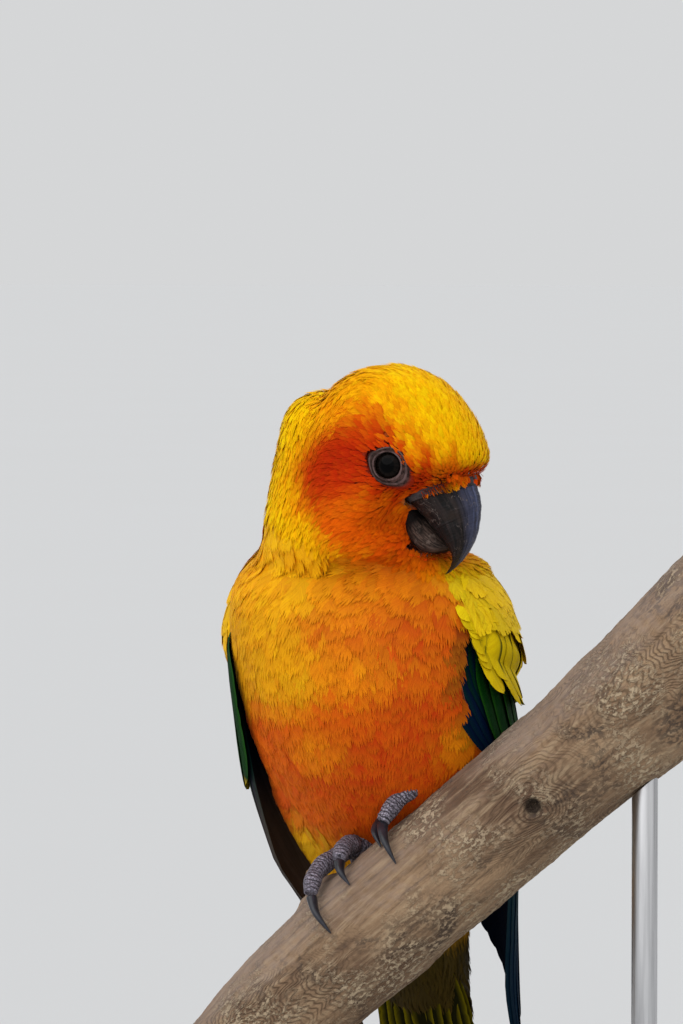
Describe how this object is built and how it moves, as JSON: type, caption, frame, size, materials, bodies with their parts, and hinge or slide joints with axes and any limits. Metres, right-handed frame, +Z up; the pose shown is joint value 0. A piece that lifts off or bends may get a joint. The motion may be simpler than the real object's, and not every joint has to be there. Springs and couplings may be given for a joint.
{
  "type": "sun conure on a perch",
  "caption": "Still, life-size sun conure that grips a cut length of branch with its head turned to its left, held up by rods on a flat base",
  "frame": {"origin": "on the underside of the stand's base, below the middle of the bird's body", "axes": "the bird's body faces -Y, its left side is +X, +Z is up; its head is turned to its left, towards +X"},
  "size_m": [0.169, 0.12, 0.2369],
  "materials": {
    "head_feathers": "matte",
    "body_feathers": "matte",
    "tail_feathers": "matte",
    "wing_feathers": "matte",
    "bill_horn": "satin",
    "bare_skin": "matte",
    "foot_scales": "matte",
    "eye_dark": "gloss",
    "bare_wood": "matte",
    "base_wood": "satin",
    "rod_steel": "satin"
  },
  "bodies": {
    "root": {"head": "head_feathers", "neck": "head_feathers", "torso": "body_feathers", "tail": "tail_feathers", "wing_L": "wing_feathers", "wing_R": "wing_feathers", "bill_upper": "bill_horn", "bill_lower": "bill_horn", "cere": "bare_skin", "eye_L": "eye_dark", "eye_R": "eye_dark", "eyelids_L": "bare_skin", "eyelids_R": "bare_skin", "leg_L": "foot_scales", "leg_R": "foot_scales", "claw_L1": "bill_horn", "claw_L2": "bill_horn", "claw_L3": "bill_horn", "claw_L4": "bill_horn", "claw_R1": "bill_horn", "claw_R2": "bill_horn", "claw_R3": "bill_horn", "claw_R4": "bill_horn", "perch": "bare_wood", "stand_base": "base_wood", "stand_rod_low": "rod_steel", "stand_rod_high": "rod_steel"}
  },
  "joints": []
}
